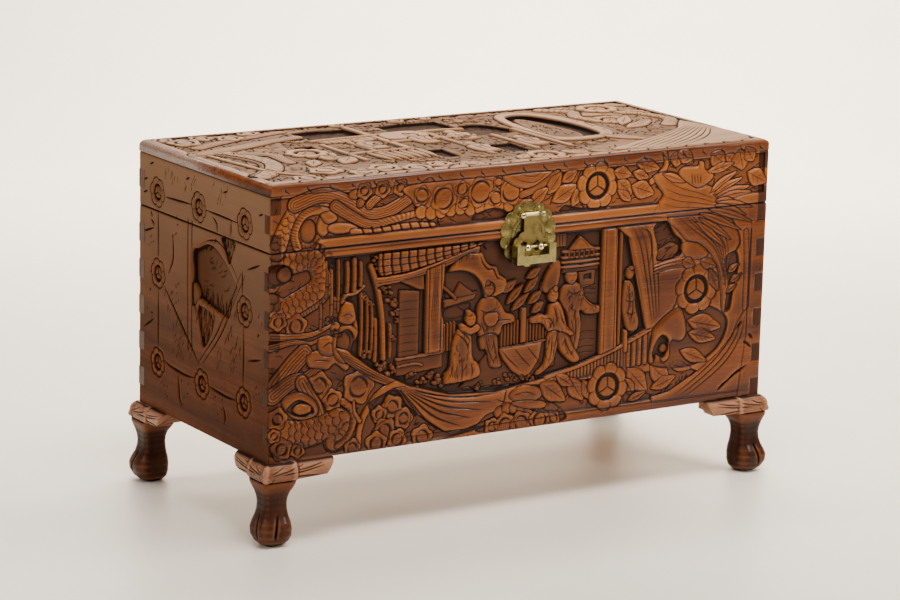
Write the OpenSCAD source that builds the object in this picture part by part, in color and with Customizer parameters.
// Carved wooden chest: a finger-jointed case and lid on four short cabriole legs,
// with two stop hinges at the back and a brass lock plate, hasp and bar padlock in front.
// Millimetres. +Z is up, +X runs along the front and the front faces -Y.
// The origin is on the floor, under the middle of the whole chest.

/* [Case] */
// Length of the case along its front
case_w = 990; // [750:1:1300]
// Depth of the case from front face to back face
case_d = 460; // [380:1:650]
// Height of the four body boards
body_h = 346; // [260:1:480]
// Thickness of the body and lid boards
board_t = 20; // [16:0.5:26]
// Height of the lid's four rim boards
rim_h = 91.6; // [70:0.1:140]
// Thickness of the lid's top board
top_t = 20; // [14:0.5:26]
// Radius of the rounding round the top board's upper edge
nose_r = 11; // [3:0.5:13]
// Gap between the closed lid and the body
seam_gap = 0.8; // [0.6:0.1:2]
// Number of fingers in each corner joint of the body
body_fingers = 11; // [5:2:17]
// Number of fingers in each corner joint of the lid
lid_fingers = 3; // [3:2:7]

/* [Bottom] */
// Thickness of the three bottom planks
plank_t = 12; // [8:0.5:16]
// How far the planks reach into each board
rabbet_d = 10; // [6:0.5:12]
// Gap between neighbouring planks
plank_gap = 0.5; // [0.2:0.1:0.9]

/* [Legs] */
// Height of the legs from floor to case
leg_h = 138; // [110:1:190]
// Distance from the case's faces in to the middle of the foot
foot_inset = 16; // [10:0.5:22]
// Radius of the flat sole
sole_r = 19; // [12:0.5:24]
// Largest radius of the foot
foot_r = 34; // [28:0.5:40]
// Height of the foot's widest place
foot_z = 32; // [20:1:40]
// Radius of the ankle
ankle_r = 24; // [18:0.5:27]
// Height of the ankle
ankle_z = 72; // [55:1:80]
// How far the knee stands out from the case
knee_proud = 18; // [12:0.5:18]
// Width of the square knee
knee_w = 70; // [60:1:80]
// Height of the knee
knee_h = 36; // [30:1:44]

/* [Brackets] */
// Length of the front and back brackets from the case's corner
bracket_long = 120; // [100:1:160]
// Length of the side brackets from the case's corner
bracket_short = 102; // [95:1:140]
// Height of a bracket at the knee
bracket_h = 28; // [20:0.5:30]
// How much further the end of a bracket reaches along its top than along its bottom
bracket_slant = 15; // [8:0.5:24]
// Thickness of a bracket
bracket_t = 30; // [24:0.5:40]
// How far a bracket stands out from the case
bracket_proud = 12; // [6:0.5:14]
// Thickness of the glue blocks behind the brackets
block_t = 24; // [16:1:30]

/* [Hinges] */
// Distance of each hinge from the middle of the back
hinge_x = 300; // [150:1:340]
// Length of a hinge
hinge_len = 75; // [60:1:100]
// Height of a hinge leaf from the seam
leaf_h = 42; // [34:1:60]
// Thickness of a hinge leaf
leaf_t = 2; // [1.5:0.1:3]
// Outer radius of the hinge knuckles
knuckle_r = 4; // [3.5:0.1:6]
// Radius of the hinge pin
hinge_pin_r = 1.6; // [1.2:0.1:2]

/* [Lock] */
// Place of the lock plate along the front
lock_x = -5; // [-40:1:40]
// Radius of the lobed lock plate
plate_r = 56; // [48:0.5:70]
// Thickness of the lock plate
plate_t = 1.5; // [1:0.1:2.5]
// Number of lobes round the plate
plate_lobes = 14; // [10:1:18]
// How far the plate's middle is below the seam
plate_drop = 11; // [6:0.5:15]
// Height of the hasp's pin above the seam
hasp_rise = 24; // [20:0.5:30]
// Distance of each hasp post from the lock's middle line
hasp_post_x = 20; // [18:0.5:24]
// Depth of the ring posts below the seam
ring_drop = 30; // [26:0.5:34]
// Distance of each ring post from the lock's middle line
ring_post_x = 13; // [11:0.5:15]
// Length of the hasp below its pin
hasp_len = 70; // [64:0.5:76]
// Thickness of the hasp leaf
hasp_t = 1.8; // [1.4:0.1:2.4]
// Width of the padlock
padlock_w = 77; // [70:0.5:90]
// Height of the padlock
padlock_h = 32; // [28:0.5:38]
// Depth of the padlock
padlock_d = 13; // [11:0.5:15]
// How far the padlock sits to the right of the lock's middle line
padlock_shift = 5; // [0:0.5:5]
// Travel of the padlock's bolt
bolt_travel = 50; // [46:0.5:52]

/* [Hidden] */
$fn = 64;
eps = 0.01;

// clearances
run_gap = 0.05;
side_gap = 0.3;
hole_gap = 0.1;

// heights
seam_z = leg_h + body_h;
lid_z = seam_z + seam_gap;
rim_top_z = lid_z + rim_h;
seam_mid_z = seam_z + seam_gap / 2;

// lock: w is the distance out from the front face, z the height in the frame
hasp_pin_r = 1.6;
hasp_knuckle_r = 3;
hasp_pin_lift = 4.6;
hasp_leaf_lift = 4;
hasp_pin_w = plate_t + hasp_pin_lift;
hasp_pin_z = seam_mid_z + hasp_rise;
hasp_in_w = plate_t + hasp_leaf_lift;
hasp_out_w = hasp_in_w + hasp_t;
post_shank_r = 3.6;
post_side_gap = 1;
hasp_knuckle_l = 2 * (hasp_post_x - post_shank_r - post_side_gap);
post_head_r = 5.5;
post_head_lift = 7.4;
post_head_w = hasp_pin_w + post_head_lift;
tail_r = 2;
rivet_r = 4;
rivet_t = 1.5;
padlock_back_w = hasp_out_w + 0.5;
bar_r = 2.2;
bar_gap = 0.35;
bar_w = padlock_back_w + padlock_d / 2;
ring_z = seam_mid_z - ring_drop;
ring_shank_r = 4.2;
ring_head_r = 6;
ring_head_lift = 5.2;
ring_head_w = bar_w + ring_head_lift;
plate_z = seam_mid_z - plate_drop;
lobe_r = plate_r * 0.21;
nail_r = 0.9;
nail_head_r = 2.4;
nail_len = 12;
plate_nail_inset = 8;
upper_nail_angles = [32, 66, 114, 148];
lower_nail_angles = [202, 245, 295, 338];

// padlock
end_w = 13.8;
padlock_top = 4;
base_h = 14;
padlock_wall = 1.8;
bar_seat = 7;
rod_w = 5;
rod_h = 4;
rod_grip = 9;
spring_t = 0.7;
spring_l = 20;
spring_w = 6;
key_w = 4;
key_h = 6;
bolt_x = padlock_w / 2 - end_w + side_gap;
rod_x = bolt_x - bolt_travel - rod_grip;
rod_z = padlock_top - padlock_h + base_h / 2;

// the case's middle line sits where the whole chest is centred in depth
front_reach = ring_head_w + ring_head_r;
back_reach = max(foot_r - foot_inset, knee_proud, bracket_proud);
case_y = (front_reach - back_reach) / 2;
front_y = case_y - case_d / 2;
back_y = case_y + case_d / 2;

// legs and brackets
knee_in = knee_w - knee_proud;
bracket_tip_h = bracket_h * 0.9;
leg_screw_places = [[28, 42], [42, 28]];
leg_screw_r = 2;
leg_screw_head_r = 4;
leg_screw_head_h = 3;
leg_screw_l = 34;

// bottom
plank_area_w = case_w - 2 * (board_t - rabbet_d);
plank_area_d = case_d - 2 * (board_t - rabbet_d);
plank_d = (plank_area_d - 2 * plank_gap) / 3;
bottom_nail_l = 26;
bottom_nail_r = 1.2;
bottom_nail_head_r = 2.6;
bottom_nail_head_h = 1;

// hinges
hinge_axis_out = knuckle_r + side_gap;
knuckles = 5;
screw_r = 1.6;
screw_head_r = 3.2;
screw_l = 15;
hinge_screw_places = [[-0.34, 0.52], [0, 0.78], [0.34, 0.52]];

wood = "saddlebrown";
dark_wood = "sienna";
brass = "darkkhaki";

// ---------- shared shapes ----------

// local x and y point out of the case at the corner named by the signs sx and sy
module at_corner(sx, sy) {
    translate([sx * case_w / 2, case_y + sy * case_d / 2, 0])
        mirror([sx < 0 ? 1 : 0, 0, 0])
            mirror([0, sy < 0 ? 1 : 0, 0])
                children();
}

// a child drawn in x and z with its height along z goes on the front face, pointing out
module on_front(x, z, w = 0) {
    translate([x, front_y - w, z]) rotate([90, 0, 0]) children();
}

// fingers of one board at both its ends: every second finger from the first, z upwards
module fingers(count, height, first) {
    pitch = height / count;
    for (i = [first : 2 : count - 1])
        translate([0, 0, i * pitch]) children();
}

// the square posts of wood that one board yields to its neighbour at the four corners
module corner_cuts(count, height, first) {
    pitch = height / count;
    for (sx = [-1, 1], sy = [-1, 1])
        fingers(count, height, first)
            translate([sx * (case_w - board_t) / 2, case_y + sy * (case_d - board_t) / 2, pitch / 2])
                cube([board_t + eps, board_t + eps, pitch], center = true);
}

module long_board(sy, height, count) {
    difference() {
        translate([-case_w / 2, case_y + sy * (case_d - board_t) / 2 - board_t / 2, 0])
            cube([case_w, board_t, height]);
        corner_cuts(count, height, 0);
    }
}

module end_board(sx, height, count) {
    difference() {
        translate([sx * (case_w - board_t) / 2 - board_t / 2, front_y, 0])
            cube([board_t, case_d, height]);
        corner_cuts(count, height, 1);
    }
}

module bottom_pocket() {
    translate([-plank_area_w / 2, case_y - plank_area_d / 2, leg_h - eps])
        cube([plank_area_w, plank_area_d, plank_t + eps]);
}

module tail_hole(x, z) {
    on_front(x, z, -board_t - eps) cylinder(r = tail_r + run_gap, h = board_t + 2 * eps);
}

// ---------- body ----------

module front_board() {
    color(wood) difference() {
        translate([0, 0, leg_h]) long_board(-1, body_h, body_fingers);
        bottom_pocket();
        for (s = [-1, 1]) tail_hole(lock_x + s * ring_post_x, ring_z);
    }
}

module back_board() {
    color(wood) difference() {
        translate([0, 0, leg_h]) long_board(1, body_h, body_fingers);
        bottom_pocket();
    }
}

module side_board(sx) {
    color(wood) difference() {
        translate([0, 0, leg_h]) end_board(sx, body_h, body_fingers);
        bottom_pocket();
    }
}

// planks are numbered from the front: 0, 1, 2
module bottom_plank(i) {
    y = case_y - plank_area_d / 2 + i * (plank_d + plank_gap);
    color(wood) difference() {
        translate([-plank_area_w / 2, y, leg_h]) cube([plank_area_w, plank_d, plank_t]);
        each_leg_screw() leg_screw(hole_gap);
        bottom_nail_places() bottom_nail(hole_gap);
    }
}

module bottom_nail_places() {
    for (sx = [-1, 1], i = [0 : 2])
        translate([sx * (plank_area_w / 2 - rabbet_d / 2),
                   case_y + (i - 1) * (plank_d + plank_gap), leg_h])
            children();
    for (sy = [-1, 1], k = [-1 : 1])
        translate([k * case_w / 4, case_y + sy * (plank_area_d / 2 - rabbet_d / 2), leg_h])
            children();
}

module bottom_nail(extra = 0) {
    cylinder(r = bottom_nail_r + extra, h = bottom_nail_l);
    translate([0, 0, -extra]) cylinder(r = bottom_nail_head_r + extra, h = bottom_nail_head_h + extra);
}

module bottom_nails() {
    color(brass) bottom_nail_places() bottom_nail();
}

// ---------- legs ----------

// radius of the turned part of the leg at height z
function blend(a, b, t) = a + (b - a) * (1 - cos(180 * t)) / 2;
function leg_r(z) =
    z < foot_z ? sole_r + (foot_r - sole_r) * sin(90 * z / foot_z)
    : z < ankle_z ? blend(foot_r, ankle_r, (z - foot_z) / (ankle_z - foot_z))
    : blend(ankle_r, foot_inset + knee_proud, (z - ankle_z) / (leg_h - knee_h - ankle_z));

module leg(sx, sy) {
    steps = 16;
    turned_h = leg_h - knee_h;
    color(dark_wood) at_corner(sx, sy) {
        translate([-foot_inset, -foot_inset, 0])
            rotate_extrude()
                polygon(concat([[0, 0]],
                    [for (i = [0 : steps]) [leg_r(turned_h * i / steps), turned_h * i / steps]],
                    [[0, turned_h]]));
        translate([knee_proud - knee_w, knee_proud - knee_w, turned_h]) knee();
    }
}

// the square knee with its outer corner rounded
module knee() {
    round_r = 16;
    linear_extrude(knee_h) union() {
        square([knee_w - round_r, knee_w]);
        square([knee_w, knee_w - round_r]);
        translate([knee_w - round_r, knee_w - round_r]) circle(r = round_r);
    }
}

// outline of a bracket, x away from the corner and y upwards from the case's bottom
module bracket_outline(length) {
    polygon([[knee_in, 0], [length, 0], [length - bracket_slant, -bracket_tip_h], [knee_in, -bracket_h]]);
}

module bracket(sx, sy, along_front) {
    length = along_front ? bracket_long : bracket_short;
    color(dark_wood) at_corner(sx, sy)
        mirror(along_front ? [0, 0, 0] : [1, -1, 0])
            translate([0, bracket_proud, leg_h])
                rotate([90, 0, 0])
                    linear_extrude(bracket_t) mirror([1, 0, 0]) bracket_outline(length);
}

module glue_blocks(sx, sy) {
    back = bracket_proud - bracket_t;
    block_h = bracket_tip_h - 2;
    color(wood) at_corner(sx, sy)
        for (along = [[bracket_long, 0], [bracket_short, 1]]) {
            block_l = along[0] - knee_in - bracket_slant - 5;
            mirror(along[1] == 0 ? [0, 0, 0] : [1, -1, 0])
                translate([-knee_in - block_l, back - block_t, leg_h - block_h])
                    cube([block_l, block_t, block_h]);
        }
}

// a screw standing on its point at the leg and ending flush with the top of the planks
module leg_screw(extra = 0) {
    top = leg_h + plank_t;
    translate([0, 0, top - leg_screw_l])
        cylinder(r = leg_screw_r + extra, h = leg_screw_l);
    translate([0, 0, top - leg_screw_head_h])
        cylinder(r1 = leg_screw_r + extra, r2 = leg_screw_head_r + extra, h = leg_screw_head_h + extra / 5);
}

module each_leg_screw() {
    for (sx = [-1, 1], sy = [-1, 1], p = leg_screw_places)
        at_corner(sx, sy) translate([-p[0], -p[1], 0]) children();
}

module leg_screws() {
    color(brass) each_leg_screw() leg_screw();
}

// ---------- hinges ----------

// local frame of a hinge: x along it, y out of the back face, z up from the seam's middle
module at_hinge(sx) {
    translate([sx * hinge_x, back_y, seam_mid_z]) children();
}

// knuckles first, first + 2 and so on, as cylinders along x
module knuckle_row(first, radius, trim) {
    pitch = hinge_len / knuckles;
    for (i = [first : 2 : knuckles - 1])
        translate([-hinge_len / 2 + i * pitch + trim, hinge_axis_out, 0])
            rotate([0, 90, 0]) cylinder(r = radius, h = pitch - 2 * trim);
}

module knuckle_windows(first) {
    pitch = hinge_len / knuckles;
    reach = knuckle_r + side_gap;
    for (i = [first : 2 : knuckles - 1])
        translate([-hinge_len / 2 + i * pitch - eps, -eps, -reach])
            cube([pitch + 2 * eps, 2 * reach + eps, 2 * reach]);
}

// up is 1 for the lid's leaf and -1 for the body's leaf
module hinge_leaf(sx, up) {
    own = up > 0 ? 1 : 0;
    other = 1 - own;
    color(brass) at_hinge(sx) difference() {
        union() {
            difference() {
                translate([-hinge_len / 2, 0, up > 0 ? 0 : -leaf_h]) cube([hinge_len, leaf_t, leaf_h]);
                knuckle_windows(other);
            }
            knuckle_row(own, knuckle_r, side_gap / 2);
        }
        translate([-hinge_len, hinge_axis_out, 0])
            rotate([0, 90, 0]) cylinder(r = hinge_pin_r + run_gap, h = 2 * hinge_len);
        hinge_screw_row(up) hinge_screw(hole_gap);
    }
}

module hinge_pin(sx) {
    head_r = hinge_pin_r + 1;
    head_l = 2;
    color(brass) at_hinge(sx) translate([0, hinge_axis_out, 0]) rotate([0, 90, 0]) {
        cylinder(r = hinge_pin_r, h = hinge_len + 2 * eps, center = true);
        for (s = [-1, 1])
            translate([0, 0, s * (hinge_len + head_l) / 2]) cylinder(r = head_r, h = head_l, center = true);
    }
}

module hinge_screw_row(up) {
    for (p = hinge_screw_places)
        translate([p[0] * hinge_len, leaf_t, up * p[1] * leaf_h]) rotate([90, 0, 0]) children();
}

// a countersunk screw going down -z of the leaf, its head flush with the leaf
module hinge_screw(extra = 0) {
    cylinder(r = screw_r + extra, h = screw_l);
    translate([0, 0, -extra / 5])
        cylinder(r1 = screw_head_r + extra, r2 = screw_r + extra, h = leaf_t - 0.3);
}

module hinge_screws(up) {
    color(brass) for (sx = [-1, 1]) at_hinge(sx) hinge_screw_row(up) hinge_screw();
}

// ---------- lid ----------

module lid_board_front() {
    color(wood) difference() {
        translate([0, 0, lid_z]) long_board(-1, rim_h, lid_fingers);
        for (s = [-1, 1]) tail_hole(lock_x + s * hasp_post_x, hasp_pin_z);
    }
}

module lid_board_back() {
    color(wood) translate([0, 0, lid_z]) long_board(1, rim_h, lid_fingers);
}

module lid_board_side(sx) {
    color(wood) translate([0, 0, lid_z]) end_board(sx, rim_h, lid_fingers);
}

// section of the top board: flat below, quarter-round at both upper corners
module top_section(width) {
    half = width / 2;
    translate([-half, 0]) square([width, top_t - nose_r]);
    translate([nose_r - half, 0]) square([width - 2 * nose_r, top_t]);
    for (s = [-1, 1])
        translate([s * (half - nose_r), top_t - nose_r])
            intersection() {
                circle(r = nose_r);
                translate([-nose_r, 0]) square([2 * nose_r, nose_r]);
            }
}

module lid_top_board() {
    color(wood) translate([0, case_y, rim_top_z]) intersection() {
        translate([0, case_d / 2, 0]) rotate([90, 0, 0]) linear_extrude(case_d) top_section(case_w);
        translate([-case_w / 2, 0, 0]) rotate([90, 0, 90]) linear_extrude(case_w) top_section(case_d);
    }
}

// ---------- lock ----------

module plate_outline() {
    circle(r = plate_r - lobe_r * 0.8);
    for (i = [0 : plate_lobes - 1])
        rotate((i + 0.5) * 360 / plate_lobes) translate([plate_r - lobe_r, 0]) circle(r = lobe_r);
}

// up is 1 for the half on the lid and -1 for the half on the body
module lock_plate(up) {
    half = 2 * plate_r;
    cut = plate_drop + up * seam_gap / 2;
    posts = up > 0 ? [hasp_post_x, hasp_pin_z - plate_z] : [ring_post_x, ring_z - plate_z];
    color(brass) on_front(lock_x, plate_z) difference() {
        linear_extrude(plate_t) difference() {
            plate_outline();
            translate([-half, up > 0 ? cut - 2 * half : cut]) square(2 * half);
        }
        for (s = [-1, 1])
            translate([s * posts[0], posts[1], -eps]) cylinder(r = tail_r + run_gap, h = plate_t + 2 * eps);
        nail_places(up) plate_nail(hole_gap);
    }
}

module nail_places(up) {
    for (a = up > 0 ? upper_nail_angles : lower_nail_angles)
        rotate(a) translate([plate_r - plate_nail_inset, 0, plate_t]) children();
}

module plate_nail(extra = 0) {
    dome = 1.2;
    ball_r = (nail_head_r * nail_head_r + dome * dome) / (2 * dome);
    translate([0, 0, -nail_len]) cylinder(r = nail_r + extra, h = nail_len + dome / 2);
    if (extra == 0)
        intersection() {
            translate([0, 0, dome - ball_r]) sphere(r = ball_r);
            cylinder(r = nail_head_r, h = dome);
        }
}

module lock_plate_nails(up) {
    color(brass) on_front(lock_x, plate_z) nail_places(up) plate_nail();
}

// tail, rivet and shank of a post, with w = 0 on the front face
module post_shaft(shank_r, shank_end) {
    translate([0, 0, -board_t - rivet_t]) cylinder(r = rivet_r, h = rivet_t);
    translate([0, 0, -board_t - rivet_t]) cylinder(r = tail_r, h = board_t + rivet_t + plate_t + 1);
    translate([0, 0, plate_t]) cylinder(r = shank_r, h = shank_end - plate_t);
}

module cross_bore(w, radius) {
    translate([0, 0, w]) rotate([0, 90, 0]) cylinder(r = radius, h = 8 * radius, center = true);
}

module hasp_post(s) {
    color(brass) on_front(lock_x + s * hasp_post_x, hasp_pin_z) difference() {
        union() {
            post_shaft(post_shank_r, post_head_w);
            translate([0, 0, post_head_w]) sphere(r = post_head_r);
        }
        cross_bore(hasp_pin_w, hasp_pin_r + run_gap);
    }
}

module ring_post(s) {
    color(brass) on_front(lock_x + s * ring_post_x, ring_z) difference() {
        union() {
            post_shaft(ring_shank_r, ring_head_w);
            translate([0, 0, ring_head_w]) sphere(r = ring_head_r);
        }
        cross_bore(bar_w, bar_r + bar_gap);
    }
}

module hasp_pin() {
    color(brass) translate([lock_x, front_y - hasp_pin_w, hasp_pin_z]) rotate([0, 90, 0])
        cylinder(r = hasp_pin_r, h = 2 * (hasp_post_x + post_shank_r), center = true);
}

// outline of the hasp leaf, y upwards from its pin
module hasp_outline() {
    neck = hasp_post_x - post_head_r - 1.5;
    foot_top = 46;
    foot_half = 35;
    difference() {
        union() {
            translate([-neck, -foot_top]) square([2 * neck, foot_top]);
            translate([-foot_half, -hasp_len]) square([2 * foot_half, hasp_len - foot_top - 3]);
            for (s = [-1, 1]) {
                translate([s * 14.5, -38]) circle(r = 8.5);
                translate([s * 24, -47]) circle(r = 9);
                translate([s * 7, -46]) circle(r = 10);
            }
        }
        for (s = [-1, 1])
            translate([s * ring_post_x, ring_z - hasp_pin_z])
                for (k = [-1, 1]) translate([0, 2 * k]) circle(r = ring_head_r + 1);
        for (s = [-1, 1])
            translate([s * ring_post_x, ring_z - hasp_pin_z]) square([2 * ring_head_r + 2, 4], center = true);
    }
}

module hasp() {
    color(brass) translate([lock_x, front_y, hasp_pin_z]) difference() {
        union() {
            translate([0, -hasp_in_w, 0]) rotate([90, 0, 0]) linear_extrude(hasp_t) hasp_outline();
            translate([0, -hasp_pin_w, 0]) rotate([0, 90, 0])
                cylinder(r = hasp_knuckle_r, h = hasp_knuckle_l, center = true);
        }
        translate([0, -hasp_pin_w, 0]) rotate([0, 90, 0])
            cylinder(r = hasp_pin_r + run_gap, h = 2 * hasp_knuckle_l, center = true);
    }
}

// local frame of the padlock: x from its middle, y back from its front-to-back middle, z from the bar
module at_padlock() {
    translate([lock_x + padlock_shift, front_y - bar_w, ring_z]) children();
}

module padlock_block(x0, width, height) {
    translate([x0, -padlock_d / 2, padlock_top - padlock_h]) cube([width, padlock_d, height]);
}

module padlock_body() {
    left = -padlock_w / 2;
    base_z = padlock_top - padlock_h;
    hollow_l = padlock_w - end_w - padlock_wall;
    color(brass) at_padlock() difference() {
        union() {
            padlock_block(left, end_w, padlock_h);
            padlock_block(left, padlock_w - end_w, base_h);
        }
        translate([left + padlock_wall, padlock_wall - padlock_d / 2, base_z + padlock_wall])
            cube([hollow_l + eps, padlock_d - 2 * padlock_wall, base_h - 2 * padlock_wall]);
        translate([left + end_w - bar_seat - 1, 0, 0])
            rotate([0, 90, 0]) cylinder(r = bar_r + bar_gap, h = bar_seat + 1 + eps);
        translate([left - eps, -key_w / 2, base_z + (base_h - key_h) / 2])
            cube([padlock_wall + 2 * eps, key_w, key_h]);
    }
}

// end block, bar and rod; the rod still reaches into the body when the bolt is drawn out
module padlock_bolt() {
    bar_l = padlock_w - 2 * end_w + bar_seat;
    color(brass) at_padlock() {
        padlock_block(bolt_x, padlock_w / 2 - bolt_x, padlock_h);
        translate([bolt_x - bar_l, 0, 0]) rotate([0, 90, 0]) cylinder(r = bar_r, h = bar_l + 1);
        translate([rod_x, -rod_w / 2, rod_z - rod_h / 2]) cube([bolt_x + 1 - rod_x, rod_w, rod_h]);
    }
}

// two leaf springs on the rod's far end, splayed towards the end block
module padlock_springs() {
    splay = base_h / 2 - padlock_wall - side_gap - spring_t;
    color(brass) at_padlock() for (s = [-1, 1])
        translate([rod_x + 1, spring_w / 2, rod_z]) rotate([90, 0, 0]) linear_extrude(spring_w)
            mirror([0, s < 0 ? 1 : 0, 0])
                polygon([[0, rod_h / 2], [4, rod_h / 2], [spring_l, splay], [spring_l, splay + spring_t],
                         [4, rod_h / 2 + spring_t], [0, rod_h / 2 + spring_t]]);
}

// ---------- every piece ----------

front_board();
back_board();
side_board(-1);  // left_end_board
side_board(1);  // right_end_board
bottom_plank(0);  // bottom_plank_front
bottom_plank(1);  // bottom_plank_middle
bottom_plank(2);  // bottom_plank_back
bottom_nails();
leg(-1, -1);  // leg_front_left
leg(1, -1);  // leg_front_right
leg(-1, 1);  // leg_back_left
leg(1, 1);  // leg_back_right
bracket(-1, -1, true);  // bracket_front_left
bracket(1, -1, true);  // bracket_front_right
bracket(-1, 1, true);  // bracket_back_left
bracket(1, 1, true);  // bracket_back_right
bracket(-1, -1, false);  // bracket_left_front
bracket(-1, 1, false);  // bracket_left_back
bracket(1, -1, false);  // bracket_right_front
bracket(1, 1, false);  // bracket_right_back
glue_blocks(-1, -1);  // glue_blocks_front_left
glue_blocks(1, -1);  // glue_blocks_front_right
glue_blocks(-1, 1);  // glue_blocks_back_left
glue_blocks(1, 1);  // glue_blocks_back_right
leg_screws();
hinge_leaf(-1, -1);  // hinge_body_leaf_left
hinge_leaf(1, -1);  // hinge_body_leaf_right
hinge_leaf(-1, 1);  // hinge_lid_leaf_left
hinge_leaf(1, 1);  // hinge_lid_leaf_right
hinge_pin(-1);  // hinge_pin_left
hinge_pin(1);  // hinge_pin_right
hinge_screws(-1);  // hinge_body_screws
hinge_screws(1);  // hinge_lid_screws
lock_plate(-1);  // lock_plate_lower
lock_plate_nails(-1);  // lock_plate_lower_nails
ring_post(-1);  // ring_post_left
ring_post(1);  // ring_post_right
lid_top_board();
lid_board_front();  // lid_front_rim
lid_board_back();  // lid_back_rim
lid_board_side(-1);  // lid_left_rim
lid_board_side(1);  // lid_right_rim
lock_plate(1);  // lock_plate_upper
lock_plate_nails(1);  // lock_plate_upper_nails
hasp_post(-1);  // hasp_post_left
hasp_post(1);  // hasp_post_right
hasp_pin();
hasp();
padlock_body();
padlock_bolt();
padlock_springs();
